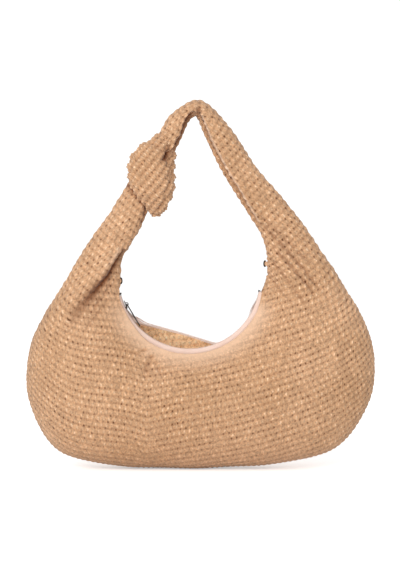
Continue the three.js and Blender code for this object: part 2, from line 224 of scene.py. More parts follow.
def stitch_coordinates(place, out):
    """(length along the rows, distance square to the rows), in millimetres, for points on ribs.

    out is a point's distance outwards along its rib, over the surface, from the rib's middle: each rib is
    unrolled, so that stitches keep their size where the knit turns under. Rows run along the sack and across
    the straps, and change direction at the fold where the left strap rolls over the sack.
    """
    ribs = rib_at(place)
    middle = (ribs[..., 0:2] + ribs[..., 2:4]) / 2
    aim = unit(ribs[..., 2:4] - ribs[..., 0:2])
    x = middle[..., 0] + out * aim[..., 0]
    z = middle[..., 1] + out * aim[..., 1]
    along = np.interp(x, ROW_X, ROW_LENGTH)
    square = z - np.interp(x, ROW_X, ROW_HEIGHT)
    row, across_row = row_aim(place)
    rib_shares = ((aim * row).sum(-1), (aim * across_row).sum(-1))
    signed, _share = away_from(ROLL, x, z)
    over_fold = np.maximum(smooth(2, -2, signed), 1 - smooth(2.4, 3, place))
    for join, way, allowed in ((LEFT_JOIN, -1, over_fold), (RIGHT_JOIN, 1, 1)):
        on_strap = smooth(-1.2, 1.0, way * (place - join)) * allowed
        join_x, join_z = (np.interp(join, SPINE_PLACE, SPINE[:, k]) for k in (0, 1))
        starts = (np.interp(join_x, ROW_X, ROW_LENGTH), join_z - np.interp(join_x, ROW_X, ROW_HEIGHT))
        strap = []
        for start, length, share in zip(starts, SPINE_WALKED, rib_shares):
            from_join = np.interp(place, SPINE_PLACE, length) - np.interp(join, SPINE_PLACE, length)
            strap.append(start + way * (from_join + out * share))
        along = along + (strap[0] - along) * on_strap
        square = square + (strap[1] - square) * on_strap
    return along, square


# How much of a stitch's height is the row itself, and the two slanting ridges that cross it.
ROW_WAVE, RISING_WAVE, FALLING_WAVE = 0.18, 0.44, 0.38


def stitch_height(u, v):
    """Height of the knit's stitches, from about -0.6 between them to 1 on one. Rows are laid like bricks.

    u and v are in turns: one stitch along a row, and two rows.
    """
    u, v = 2 * np.pi * u, 2 * np.pi * v
    hole = smooth(0.5, 1, np.sin(u) * np.sin(v))
    slants = RISING_WAVE * np.cos(u + v) + FALLING_WAVE * np.cos(u - v)
    return ROW_WAVE * np.cos(2 * v) + slants - 0.35 * hole


# --- Folds --------------------------------------------------------------------------------------------------

# The fold where the left strap rolls over the sack, as points (x, z). Then the creases round it, under the
# right strap, beside the knot and under the mouth: points, depth, width and darkness of their painted shade.
ROLL = [(-90, 267), (-110, 234), (-137, 205), (-156, 181), (-168, 160)]
CREASES = [
    ([(-100, 228), (-122, 200), (-140, 174)], 1.8, 2.6, 0.3),
    ([(-108, 206), (-128, 180), (-142, 160)], 1.4, 2.6, 0.25),
    ([(64, 310), (93, 283), (121, 257), (146, 235)], 1.6, 2.0, 0.25),
    ([(68, 298), (95, 271), (121, 243), (145, 214), (166, 191)], 2.4, 2.2, 0.35),
    ([(82, 270), (107, 245), (128, 221), (149, 195)], 2.2, 2.0, 0.35),
    ([(80, 256), (100, 232), (120, 205), (136, 184)], 1.8, 2.0, 0.25),
    ([(76, 240), (98, 212), (120, 190)], 1.4, 2.4, 0.15),
    ([(-56, 140), (-63, 126), (-67, 106)], 2.2, 2.6, 0.3),
    ([(-55, 134), (-47, 119), (-36, 112)], 1.2, 2.0, 0.2),
    ([(-62, 146), (-76, 141), (-92, 142)], 1.2, 2.0, 0.15),
    ([(-100, 347), (-84, 338.5), (-65, 316), (-61, 296)], 1.0, 2.6, 0.9),
    ([(-60, 322), (-65, 312), (-68, 300), (-76, 284)], 1.5, 2.2, 0.6),
]


def away_from(line, x, z):
    """(signed distance, share of the way along) from a line of points. Distances are positive to its left."""
    line = np.array(line, float)
    lengths = np.linalg.norm(np.diff(line, axis=0), axis=1)
    best = np.full(x.shape, 1e9)
    signed, share = np.zeros(x.shape), np.zeros(x.shape)
    for i, (a, b) in enumerate(zip(line[:-1], line[1:])):
        aim = (b - a) / lengths[i]
        t = np.clip((x - a[0]) * aim[0] + (z - a[1]) * aim[1], 0, lengths[i])
        dx, dz = x - a[0] - t * aim[0], z - a[1] - t * aim[1]
        distance = np.hypot(dx, dz)
        nearer = distance < best
        best = np.where(nearer, distance, best)
        signed = np.where(nearer, np.sign(aim[0] * dz - aim[1] * dx) * distance, signed)
        share = np.where(nearer, (lengths[:i].sum() + t) / lengths.sum(), share)
    return signed, share


def dent(distance, width):
    return np.exp(-((distance / width) ** 2))


def fold_height(points, side):
    """How far folds push the knit out, in millimetres, and how much painted shade they put on it, or painted
    highlight below 0.
    """
    x, z = points[..., 0], points[..., 2]
    height = 0.7 * wobble(x, z, 3 if side < 0 else 8, 70)
    strength = 1.0 if side < 0 else 0.6
    signed, share = away_from(ROLL, x, z)
    fade = strength * smooth(0, 0.06, share) * (1 - smooth(0.35, 1, share))
    soft = 1 + 1.5 * share  # the roll opens out as it runs down the sack
    rolled = 5.0 * smooth(1, -5 * soft, signed) * dent(np.minimum(signed + 5, 0), 14)
    height += fade * (rolled - 4.5 * smooth(-2 * soft, soft, signed) * dent(np.maximum(signed, 0), 8 * soft))
    # Painted shade in the roll's crease, and a painted highlight along the roll's edge.
    shade = fade * (dent(signed - 1.2, 2.5 + 9 * share) - 0.25 * dent(signed + 4.5, 2 * soft))
    # Each crease dents the knit and paints shade along it.
    for line, depth, width, crease_shade in CREASES:
        signed, share = away_from(line, x, z)
        fade = strength * smooth(0, 0.12, share) * (1 - smooth(0.55, 1, share)) * dent(signed, width)
        height -= fade * depth
        shade += fade * crease_shade
    return height, shade


# How far the knit's edge is drawn in over the ends of the tapes: (place, millimetres).
EDGE_DRAWN = [
    (2.2, 0), (3, 2), (4, 2.2), (4.7, 3.3), (6, 4.2), (6.8, 3), (7.6, 0.8),
    (14, 0.8), (15, 2), (16, 1), (17, 0),
]
RING_PLACE = 4.5  # place of the left D-ring, where the back's edge is left alone
# Where the straps' front edge is folded in: (first place, last place, width, darkness of the painted shade
# under the fold, paleness of the painted highlight on its ridge).
FOLDED_EDGES = [(18.2, 21.95, 5.4, 0.12, 0.3), (22.05, 25.5, 4.2, 0.6, 0.0)]


def draw_edges(place, across, from_inner, points, side):
    """Draws the mouth's edge in, folds in the straps' edges and pinches the handle's top. Changes the points.

    Returns how much painted shade the folds and the handle's pinch put on the knit. A painted highlight on a
    fold's ridge has less than 0.
    """
    drawn = np.interp(place, *zip(*EDGE_DRAWN)) * (1 - smooth(0, 14, from_inner))
    if side > 0:
        drawn = drawn * (1 - 0.9 * dent(place - RING_PLACE, 0.7))
    dx, dz = LIP[0] - points[..., 0], LIP[1] - points[..., 2]
    points[..., 0] += drawn * dx / np.hypot(dx, dz)
    points[..., 2] += drawn * dz / np.hypot(dx, dz)
    ix, iz, ox, oz, _half = np.moveaxis(rib_at(place), -1, 0)
    flat = np.hypot(ox - ix, oz - iz) * across
    shade = 0 * flat
    if side < 0:
        for start, end, wide, dark, pale in FOLDED_EDGES:
            near = smooth(start, start + 0.6, place) * (1 - smooth(end - 0.25, end, place))
            edge = wide + 0.8 * np.sin(place * 2.3)
            under = near * (1 - smooth(edge - 0.8, edge + 0.5, flat))
            ridge = near * dent(flat - edge - 1.2, 1.0)
            points[..., 1] *= 1 - 0.6 * under
            points[..., 1] -= 0.7 * ridge
            # Painted shade on the strip folded under and along its edge, and a painted highlight on the
            # fold's ridge.
            shade += under * (dark + 0.4 * dent(flat - edge, 1.6)) - pale * ridge
    pinch = dent(place - TOP, 0.12) * (1 - smooth(6, 15, flat))
    points[..., 1] *= 1 - 0.35 * pinch
    # Painted shade in the pinch at the handle's top.
    return shade + 0.6 * pinch


def wobble(x, z, seed, size):
    """Smooth unevenness, mostly between -1 and 1, from a few waves in seeded directions."""
    rng = np.random.default_rng(seed)
    total = np.zeros(np.broadcast(x, z).shape)
    for _ in range(6):
        angle, phase = rng.uniform(0, 2 * np.pi, 2)
        wave = 2 * np.pi / (size * rng.uniform(0.7, 1.5))
        total += np.sin(wave * (x * np.cos(angle) + z * np.sin(angle)) + phase)
    return total / 3.5


# --- Meshes -------------------------------------------------------------------------------------------------


def make_piece(name, points, faces, material, uv=None):
    """A smooth mesh object from points in millimetres.

    uv gives each point's stitch coordinates in turns, the strength of its stitches and its shade.
    """
    mesh = bpy.data.meshes.new(name)
    mesh.from_pydata((np.asarray(points).reshape(-1, 3) * MM).tolist(), [], faces)
    mesh.update()
    if uv is not None:
        corners = np.empty(len(mesh.loops), int)
        mesh.loops.foreach_get("vertex_index", corners)
        for layer_name, pair in (("Stitches", slice(0, 2)), ("Tone", slice(2, 4))):
            layer = mesh.uv_layers.new(name=layer_name)
            values = np.asarray(uv).reshape(-1, 4)[corners, pair]
            layer.data.foreach_set("uv", values.astype(np.float32).ravel())
    faces_out(mesh)
    mesh.shade_smooth()
    mesh.materials.append(material)
    piece = bpy.data.objects.new(name, mesh)
    bpy.context.scene.collection.objects.link(piece)
    return piece


def faces_out(mesh):
    """Turns a closed mesh's faces to point out."""
    bm = bmesh.new()
    bm.from_mesh(mesh)
    if bm.calc_volume(signed=True) < 0:
        bmesh.ops.reverse_faces(bm, faces=bm.faces)
    bm.to_mesh(mesh)
    bm.free()


def grid_faces(rows, columns, row_loop=False, column_loop=False):
    """Faces of a grid of points, numbered row by row."""
    i = np.arange(rows if row_loop else rows - 1)[:, None]
    j = np.arange(columns if column_loop else columns - 1)[None, :]
    i2, j2 = (i + 1) % rows, (j + 1) % columns
    corners = np.broadcast_arrays(i * columns + j, i * columns + j2, i2 * columns + j2, i2 * columns + j)
    return np.stack(corners, -1).reshape(-1, 4).tolist()


def tube_piece(name, rings, material, uv=None, looped=False):
    """A closed piece skinned over rings of points, with capped ends unless it is looped."""
    rings = np.asarray(rings)
    n, m, _ = rings.shape
    faces = grid_faces(n, m, row_loop=looped, column_loop=True)
    points = rings.reshape(-1, 3)
    if not looped:
        points = np.concatenate([points, rings[0].mean(0)[None], rings[-1].mean(0)[None]])
        faces += [[(k + 1) % m, k, n * m] for k in range(m)]
        faces += [[(n - 1) * m + k, (n - 1) * m + (k + 1) % m, n * m + 1] for k in range(m)]
        if uv is not None:
            uv = np.concatenate([uv.reshape(-1, 4), uv[0].mean(0)[None], uv[-1].mean(0)[None]])
    return make_piece(name, points, faces, material, uv)


def sheet_piece(name, face, back, material, uv, stride=1):
    """A closed piece of cloth between two grids. The back has one point for every stride of the face's."""
    n, m, _ = face.shape
    back_n, back_m, _ = back.shape
    first = n * m
    faces = grid_faces(n, m) + [[first + k for k in quad[::-1]] for quad in grid_faces(back_n, back_m)]
    face_at = lambda i, j: i * m + j
    back_at = lambda i, j: first + i * back_m + j
    for row, back_row in ((0, 0), (n - 1, back_n - 1)):
        for k in range(back_m - 1):
            run = [face_at(row, k * stride + t) for t in range(stride + 1)]
            ring = run + [back_at(back_row, k + 1), back_at(back_row, k)]
            faces.append(ring[::-1] if row == 0 else ring)
    for column, back_column in ((0, 0), (m - 1, back_m - 1)):
        for k in range(back_n - 1):
            run = [face_at(k * stride + t, column) for t in range(stride + 1)]
            ring = run + [back_at(k + 1, back_column), back_at(k, back_column)]
            faces.append(ring if column == 0 else ring[::-1])
    points = np.concatenate([face.reshape(-1, 3), back.reshape(-1, 3)])
    uv = np.concatenate([uv.reshape(-1, 4), uv[::stride, ::stride].reshape(-1, 4)])
    return make_piece(name, points, faces, material, uv)


# --- The knit -----------------------------------------------------------------------------------------------

STRIDE = 8  # steps of a panel's outer face for each step of its plain inner face
COLUMNS = 144  # steps across a panel
LEFT_ROWS, PANEL_ROWS, RIGHT_ROWS = 112, 672, 304  # steps along the left strap, panels and right strap


def even_places(start, end, steps):
    """Places from start to end at even steps of length, measured nearer the outer edge."""
    fine = np.linspace(start, end, 2001)
    ribs = rib_at(fine)
    run = walked(0.3 * ribs[:, 0:2] + 0.7 * ribs[:, 2:4])
    return np.interp(np.linspace(0, run[-1], steps + 1), run, fine)


def even_across(place, side, steps):
    """For each place: acrosses at even steps over the surface, and two distances over the surface.

    The distances are to the outer edge, from each of the acrosses and from the rib's middle.
    """
    fine = (1 - np.cos(np.linspace(0, np.pi, 241))) / 2
    run = walked(bare_skin(place, fine[None, :], side))
    share = np.linspace(0, 1, steps + 1)
    across = np.array([np.interp(share * r[-1], r, fine) for r in run])
    beyond_middle = run[:, -1] - np.array([np.interp(0.5, fine, r) for r in run])
    return across, run[:, -1:] * (1 - share), beyond_middle[:, None]


def knit_surface():
    """The whole knit as rings of points round the crescent, from the front's inner edge to the back's.

    Returns points without stitches, points with them, and for each point its stitch coordinates in turns, the
    strength of the stitches and the shade of the folds.
    """
    place = np.concatenate([
        even_places(0, PANEL_FROM, LEFT_ROWS)[:-1],
        even_places(PANEL_FROM, PANEL_TO, PANEL_ROWS)[:-1],
        even_places(PANEL_TO, len(RIBS) - 1, RIGHT_ROWS),
    ])[:, None]
    lip = smooth(LEFT_ZIP - 0.6, LEFT_ZIP + 1.5, place) * (1 - smooth(RIGHT_ZIP - 1, RIGHT_ZIP, place))
    halves = []
    front_beyond = None
    for side in (-1, 1):
        across, to_outline, beyond = even_across(place, side, COLUMNS)
        front_beyond = beyond if front_beyond is None else front_beyond
        points = bare_skin(place, across, side)
        from_inner = to_outline[:, :1] - to_outline
        fold, shade = fold_height(points, side)
        shade = shade + draw_edges(place, across, from_inner, points, side)
        along, square = stitch_coordinates(place + 0 * across, front_beyond - to_outline)
        # The stitches are flatter and paler near the lip, and a little flatter low down.
        calm = lip * (0.46 * (1 - smooth(2, 11, from_inner)) + 0.38 * (1 - smooth(10, 36, from_inner)))
        strength = (1 - calm) * (0.7 + 0.3 * smooth(5, 60, points[..., 2]))
        shade = shade - 0.2 * lip * (1 - smooth(4, 30, from_inner))
        halves.append((points, np.stack([fold, along / STITCH, square / (2 * ROW), strength, shade], -1)))
    bare, data = (np.concatenate([front, back[:, -2::-1]], 1) for front, back in zip(*halves))
    folded = bare + outward(bare) * data[..., :1]
    relief = RELIEF * stitch_height(data[..., 1], data[..., 2]) * data[..., 3]
    return folded, folded + outward(folded) * relief[..., None], data[..., 1:]


def outward(ring):
    """Unit normals of the knit's rings, pointing out. A strap's ring is closed: its ends share a normal."""
    around = np.gradient(ring, axis=1)
    ends = around[:, 0] + around[:, -1]
    shut = np.linalg.norm(ring[:, 0] - ring[:, -1], axis=-1) < 0.5
    around[shut, 0] = around[shut, -1] = ends[shut]
    return unit(np.cross(around, np.gradient(ring, axis=0)))


def make_knit(material):
    """The two panels and the two straps, which share one surface and meet at the shoulders."""
    folded, stitched, uv = knit_surface()
    cut_a, cut_b = LEFT_ROWS, LEFT_ROWS + PANEL_ROWS
    inner = folded - outward(folded) * KNIT
    pieces = []
    rows = slice(cut_a, cut_b + 1)
    halves = (("knit_front", -1, slice(0, COLUMNS + 1)), ("knit_back", 1, slice(COLUMNS, None)))
    for name, side, columns in halves:
        lined = inner[rows, columns][::STRIDE, ::STRIDE].copy()
        lined[..., 1] = side * np.maximum(side * lined[..., 1], 0.3)
        pieces.append(sheet_piece(name, stitched[rows, columns], lined, material, uv[rows, columns], STRIDE))
    for name, rows in (("knit_strap_left", slice(0, cut_a + 1)), ("knit_strap_right", slice(cut_b, None))):
        pieces.append(tube_piece(name, stitched[rows, :-1], material, uv[rows, :-1]))
    return pieces


# --- The knot -----------------------------------------------------------------------------------------------

# The knot's sections, from the bottom up: [z, left x, right x, half depth].
KNOT = np.array([
    [303, -57, -49, 5],
    [308, -61, -44.5, 13],
    [318, -68, -38, 19],
    [330, -78, -32, 24],
    [342, -86, -31, 26],
    [358, -87, -32, 26],
    [372, -83, -30, 25],
    [382, -77, -29, 22],
    [389, -68, -31, 18],
    [395, -59, -35, 15],
    [400, -51, -40, 10],
], float)
KNOT_SLOPE = 50  # slope of the knot's rows, in degrees
KNOT_STITCH, KNOT_ROW = 5.2, 8.6
KNOT_SCALLOP = 12.5  # distance between the bumps on the knot's sides
# Creases in the knot's front: points, depth, width and darkness of their painted shade. The last is a recess.
KNOT_CREASES = [
    ([(-40, 384), (-37, 372), (-34, 357), (-37, 338), (-45, 318), (-51, 306)], 2.6, 2.4, 0.12),
    ([(-64, 394), (-52, 388), (-44, 381)], 1.6, 2.2, 0.1),
    ([(-33, 386), (-38, 379), (-41, 372)], 4.0, 4.2, 1.0),
]


def make_knot(material):
    """The lump where the handle is tied round itself."""
    rows, columns = 120, 208
    level = np.linspace(0, 1, rows + 1)
    z = KNOT[0, 0] + (KNOT[-1, 0] - KNOT[0, 0]) * (1 - np.cos(np.pi * level)) / 2
    left, right, depth = (np.interp(z, KNOT[:, 0], soften(KNOT[:, k])) for k in (1, 2, 3))
    power = 2.3 + 1.5 * (1 - smooth(330, 356, z))[:, None]
    angle = np.pi / 2 + 2 * np.pi * np.arange(columns) / columns
    c, s = np.cos(angle), np.sin(angle)
    reach = (np.abs(c) ** power + np.abs(s) ** power) ** (-1 / power)
    x = ((left + right) / 2)[:, None] + ((right - left) / 2)[:, None] * reach * c
    y = depth[:, None] * reach * s
    rings = np.stack([x, y, np.broadcast_to(z[:, None], x.shape)], -1)
    run = walked(rings)
    middle = columns // 2
    flat_x = run - run[:, middle : middle + 1] + x[:, middle : middle + 1]
    flat_z = walked(rings[:, middle])[:, None]
    slope = np.radians(KNOT_SLOPE)
    u = (flat_x * np.cos(slope) + flat_z * np.sin(slope)) / KNOT_STITCH
    v = (flat_z * np.cos(slope) - flat_x * np.sin(slope)) / (2 * KNOT_ROW)
    height = 0.8 * wobble(x, z[:, None], 5, 40)
    shade = 0 * height
    # Each crease dents the knot's front and paints shade along it.
    for line, deep, width, crease_shade in KNOT_CREASES:
        signed, _share = away_from(line, x, rings[..., 2])
        front = smooth(0, 8, -y) * dent(signed, width)
        height -= front * deep
        shade += front * crease_shade
    height += 0.9 * stitch_height(u, v) + 0.9 * np.cos(4 * np.pi * v)
    height += 1.3 * smooth(0.75, 1, np.abs(c)) * np.cos(2 * np.pi * z[:, None] / KNOT_SCALLOP)
    points = rings + closed_normals(rings) * height[..., None]
    return tube_piece("knot_wrap", points, material, np.stack([u, v, 1 + 0 * u, shade], -1))


def soften(values):
    """A row of values with its corners eased a little."""
    out = values.copy()
    out[1:-1] = 0.15 * values[:-2] + 0.7 * values[1:-1] + 0.15 * values[2:]
    return out


def closed_normals(rings):
    """Unit normals of closed rings, pointing away from their middles."""
    wrapped = np.concatenate([rings[:, -1:], rings, rings[:, :1]], 1)
    around = (wrapped[:, 2:] - wrapped[:, :-2]) / 2
    normal = unit(np.cross(around, np.gradient(rings, axis=0)))
    out = rings - rings.mean(1, keepdims=True)
    return normal * np.sign((normal * out).sum(-1).mean())


# --- The mouth: binding, tapes, coils and stitching ---------------------------------------------------------


TAPE_ROOT, TAPE_LEAN = 6.0, 2.55  # distance of a tape's root from the middle, and how much nearer its edge is


def lip_points(turn, side, across, height):
    """Points along a lip at angles turn, in degrees.

    across is the distance from the middle when the zip is shut. height is a share of the way from the lip to
    the coils, and millimetres on top of that. The back's tape folds outwards where the mouth is open.
    """
    aim = np.stack([np.cos(np.radians(turn)), 0 * turn, np.sin(np.radians(turn))], -1)
    root = np.array([LIP[0], 0, LIP[1]]) + aim * LIP[2]
    tip = np.array([COIL[0], 0, COIL[1]]) + aim * COIL[2]
    up = tip - root
    reach = np.linalg.norm(up, axis=-1, keepdims=True)
    share, extra = height
    above = share * reach[..., 0] + extra
    if side < 0:
        point = root + up / reach * above[..., None]
        point[..., 1] = -across
        return point
    along = (turn - ZIP_FROM) / (ZIP_TO - ZIP_FROM)
    back, lifted = opening(LEFT_ZIP + along * (RIGHT_ZIP - LEFT_ZIP))
    lean = LEAN * smooth(0.05, 0.28, along) * (1 - smooth(0.8, 0.97, along)) * (above > 0)
    inwards = across - TAPE_ROOT
    point = root + up / reach * (above * np.cos(lean) - inwards * np.sin(lean))[..., None]
    point[..., 1] = TAPE_ROOT + inwards * np.cos(lean) + above * np.sin(lean) + back
    point[..., 2] += lifted
    return point


def along_lip(name, side, section, material):
    """A piece that follows a lip. The section lists (across, share of the way up, millimetres more)."""
    turn = np.linspace(ZIP_FROM + 0.6, ZIP_TO - 0.6, 241)
    rings = np.stack([lip_points(turn, side, y, (share, extra + 0 * turn)) for y, share, extra in section], 1)
    return tube_piece(name, rings, material)


def oval(y, share, extra, half_y, half_up, count):
    """A rounded section for along_lip, centred on (y, share, extra), a little squarer than an ellipse."""
    power = 2.6
    angle = 2 * np.pi * np.arange(count) / count
    c, s = np.cos(angle), np.sin(angle)
    reach = (np.abs(c) ** power + np.abs(s) ** power) ** (-1 / power)
    return [(y + a, share, extra + b) for a, b in zip(half_y * reach * c, half_up * reach * s)]


def make_coil(name, side, material):
    """A row of zip teeth: one nylon thread wound along the tape's edge."""
    pitch, per_turn, wire, around = 1.3, 9, 0.27, 6
    length = np.radians(ZIP_TO - ZIP_FROM - 2) * COIL[2]
    count = int(length / pitch) * per_turn
    t = np.arange(count + 1) / count
    turn = ZIP_FROM + 0.4 + (ZIP_TO - ZIP_FROM - 2) * t
    phase = 2 * np.pi * t * count / per_turn + (np.pi if side > 0 else 0)
    path = lip_points(turn, side, 1.75 + 1.0 * np.cos(phase), (1.0, 0.75 * np.sin(phase)))
    return tube_piece(name, wire_rings(path, wire, around), material)


def wire_rings(path, radius, around):
    """Rings of points round a path."""
    ahead = unit(np.gradient(path, axis=0))
    side = unit(np.cross(ahead, [0.31, 0.93, 0.2]))
    up = np.cross(ahead, side)
    angle = (2 * np.pi * np.arange(around) / around)[None, :, None]
    return path[:, None] + radius * (np.cos(angle) * side[:, None] + np.sin(angle) * up[:, None])


def make_stitching(name, side, material):
    """A line of sewn thread along the face of a tape, near its root."""
    pitch, length, thread, rings_each, around = 3.4, 2.5, 0.26, 5, 6
    count = int(np.radians(ZIP_TO - ZIP_FROM - 3) * LIP[2] / pitch)
    half = np.degrees(length / 2 / LIP[2])
    sink = 0.35 * np.linspace(-1, 1, rings_each) ** 4
    points, faces = [], []
    for k in range(count):
        middle = ZIP_FROM + 1.5 + (ZIP_TO - ZIP_FROM - 3) * (k + 0.5) / count
        turn = np.linspace(middle - half, middle + half, rings_each)
        path = lip_points(turn, side, TAPE_ROOT - 0.25 * TAPE_LEAN + 0.45 - sink, (0.25, 0 * turn))
        rings = wire_rings(path, thread, around)
        for end in (0, -1):
            core = rings[end].mean(0)
            rings[end] = core + 0.3 * (rings[end] - core)
        first = len(points)
        points += rings.reshape(-1, 3).tolist()
        last = first + (rings_each - 1) * around
        faces += [[first + c for c in quad] for quad in grid_faces(rings_each, around, column_loop=True)]
        faces += [[first + c for c in range(around - 1, -1, -1)], [last + c for c in range(around)]]
    return make_piece(name, points, faces, material)


def make_mouth(lip, tape, coil, thread):
    """Everything sewn to the two lips, with the CAD node that each piece stands for."""
    for end, side in (("front", -1), ("back", 1)):
        binding = along_lip(f"binding_{end}", side, oval(LIP_Y + 0.8, 0, -2.1, 1.8, 2.0, 20), lip)
        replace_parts(ride(binding, "sack"), f"rim_binding_{end}")
        steps = np.linspace(0, 1, 7)
        front = [(TAPE_ROOT - TAPE_LEAN * s + 0.35, s, -1.0 * (1 - s) + 0.3 * s) for s in steps]
        back = [(y - 0.7, share, extra) for y, share, extra in front[::-1]]
        strip = along_lip(f"tape_{end}", side, front + back, tape)
        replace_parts(ride(strip, "sack"), f"zip_tape_{end}")
        teeth = make_coil(f"coil_{end}", side, coil)
        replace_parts(ride(teeth, "sack"), f"zip_coil_{end}")
        ride(make_stitching(f"stitching_{end}", side, thread), "sack")


# --- The inside ---------------------------------------------------------------------------------------------


def cloth_inside(name, side, places, across, depth, thickness, material, ripple=0.0, knitted=0.0):
    """A piece of cloth inside the sack, at a depth below the knit's face.

    knitted is how far its stitches stand out.
    """
    place = places[:, None]
    points = bare_skin(place, across[None, :], side)
    normal = unit(np.cross(np.gradient(points, axis=1), np.gradient(points, axis=0)) * -side)
    depth = depth + ripple * wobble(points[..., 0], points[..., 2], 11 + side, 34)
    run = walked(points)
    out = run - np.array([np.interp(0.5, across, r) for r in run])[:, None]
    along, square = stitch_coordinates(place + 0 * run, out)
    u, v = along / STITCH, square / (2 * ROW)
    relief = knitted * stitch_height(u, v)
    layers = []
    for level in (depth + thickness + relief, depth):
        layer = points - normal * level[..., None]
        layer[..., 1] = side * np.maximum(side * layer[..., 1], 0.4)
        layers.append(layer)
    return sheet_piece(name, layers[0], layers[1], material, np.stack([u, v, 1 + 0 * u, 0 * u], -1))


def make_inside(lining, label):
    """Lining, slip pocket and care label."""
    for end, side, steps, columns in (("front", -1, 161, 49), ("back", 1, 361, 129)):
        rounded = (1 - np.cos(np.linspace(0, np.pi, columns))) / 2
        places, across = np.linspace(LEFT_ZIP + 0.12, RIGHT_ZIP - 0.12, steps), 0.97 * rounded
        cloth = cloth_inside(f"lining_cloth_{end}", side, places, across, KNIT + 1.6, 0.9, lining, 0.5, 0.6)
        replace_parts(ride(cloth, "sack"), f"lining_{end}")
    places, across = np.linspace(8.4, 11.6, 65), np.linspace(0.22, 0.7, 25)
    pocket = cloth_inside("pocket_cloth", 1, places, across, KNIT + 4.2, 0.9, lining)
    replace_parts(ride(pocket, "sack"), "slip_pocket")
    places, across = np.linspace(8.45, 11.55, 65), np.linspace(0.215, 0.3, 7)
    ride(cloth_inside("pocket_hem", 1, places, across, KNIT + 5.4, 0.8, lining), "sack")
    places, across = np.linspace(12.3, 12.75, 13), np.linspace(0.3, 0.5, 13)
    tag = cloth_inside("label_cloth", 1, places, across, KNIT + 4.4, 0.5, label)
    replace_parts(ride(tag, "sack"), "care_label")


# --- D-rings and zip hardware -------------------------------------------------------------------------------

RING_WIRE, RING_BOW, RING_HALF = 0.75, 4.0, 3.6  # radius of the wire, reach of the bow, half its height
RING_BAR = 2.7  # half the length of the straight bar
RING_REST = np.radians(60)  # angle by which a ring rests turned to the front
# Each ring's upright bar: x, z, and the way the ring bows before it is turned.
RING_BARS = {"left": (-95.6, 226.0, 1), "right": (77.6, 246.5, -1)}


def make_ring(end, metal):
    """A round-wired D-ring, resting turned to the front about its bar."""
    bar_x, bar_z, way = RING_BARS[end]
    bow = np.radians(np.linspace(-78, 78, 33))
    reach = np.concatenate([[0, 0], 0.3 + (RING_BOW - 0.3) * np.cos(bow), [0]])[:, None]
    up = np.concatenate([[0.9, -RING_BAR], RING_HALF * np.sin(bow), [RING_BAR]])[:, None]
    outwards = np.array([way * np.cos(RING_REST), -np.sin(RING_REST), 0])
    square = np.cross(outwards, [0, 0, 1])
    path = np.array([bar_x, 0, bar_z]) + reach * outwards + up * np.array([0, 0, 1])
    ahead = unit(np.roll(path, -1, 0) - np.roll(path, 1, 0))
    beside = np.cross(ahead, square)
    angle = (2 * np.pi * np.arange(14) / 14)[None, :, None]
    rings = path[:, None] + RING_WIRE * (np.cos(angle) * beside[:, None] + np.sin(angle) * square)
    return tube_piece(f"ring_{end}", rings, metal, looped=True)


def make_tab(end, knit):
    """A folded strip of knit round a D-ring's bar, sewn into the end of the mouth."""
    bar_x, bar_z, way = RING_BARS[end]
    turn = np.radians(np.linspace(-90, 90, 19))
    x = np.concatenate([[-4.5, -2.2], np.cos(turn) * 1.5, [-2.2, -4.5]])
    y = np.concatenate([[-1.5, -1.5], np.sin(turn) * 1.5, [1.5, 1.5]])
    path = np.stack([bar_x + way * x, y, bar_z + 0 * x], -1)
    ahead = unit(np.gradient(path, axis=0))
    out = np.cross(ahead, [0, 0, 1])
    angle = 2 * np.pi * np.arange(16) / 16
    reach = (np.abs(np.cos(angle)) ** 4 + np.abs(np.sin(angle)) ** 4) ** -0.25
    wide, thick = 2.4 * reach * np.cos(angle), 0.4 * reach * np.sin(angle)
    rings = path[:, None] + out[:, None] * thick[None, :, None] + np.array([0, 0, 1]) * wide[None, :, None]
    return tube_piece(f"tab_{end}", rings, knit)


def finish_hardware(metal):
    """Gives the CAD's slider, pull and stops their metal."""
    for name in ("zip_slider", "zip_pull", "zip_bottom_stop", "zip_top_stop_front", "zip_top_stop_back"):
        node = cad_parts[name]
        node.data.materials.clear()
        node.data.materials.append(metal)


# --- Materials ----------------------------------------------------------------------------------------------


def linear(red, green, blue):
    """A linear colour from 0 to 255 display values."""
    levels = np.array([red, green, blue]) / 255
    return (*np.where(levels > 0.04045, ((levels + 0.055) / 1.055) ** 2.4, levels / 12.92), 1)


BODY = linear(194, 151, 113), linear(205, 162, 125)
# Stitch colours: painted shade for the valleys between rows, and painted highlight for the stitches' tops.
STITCH_SHADE_AND_HIGHLIGHT = linear(160, 112, 76), linear(240, 206, 170)
# Painted shade in the holes between stitches, and the paler knit near the lip.
HOLE_SHADE, LIP_LIGHT = linear(98, 58, 32), linear(232, 190, 154)
# Painted shade in folds and creases, and painted highlight on the folds' ridges and the paler wash near the
# lip.
FOLD_SHADE, FOLD_LIGHT = linear(144, 102, 66), linear(248, 222, 200)
INSIDE = linear(253, 202, 152), linear(255, 214, 168)
# The lining's stitch colours: painted shade and highlight as on the knit, then painted shade in its holes.
INSIDE_STITCH_SHADE_AND_HIGHLIGHT = linear(240, 174, 120), linear(255, 236, 200)
INSIDE_HOLE_SHADE = linear(226, 150, 94)


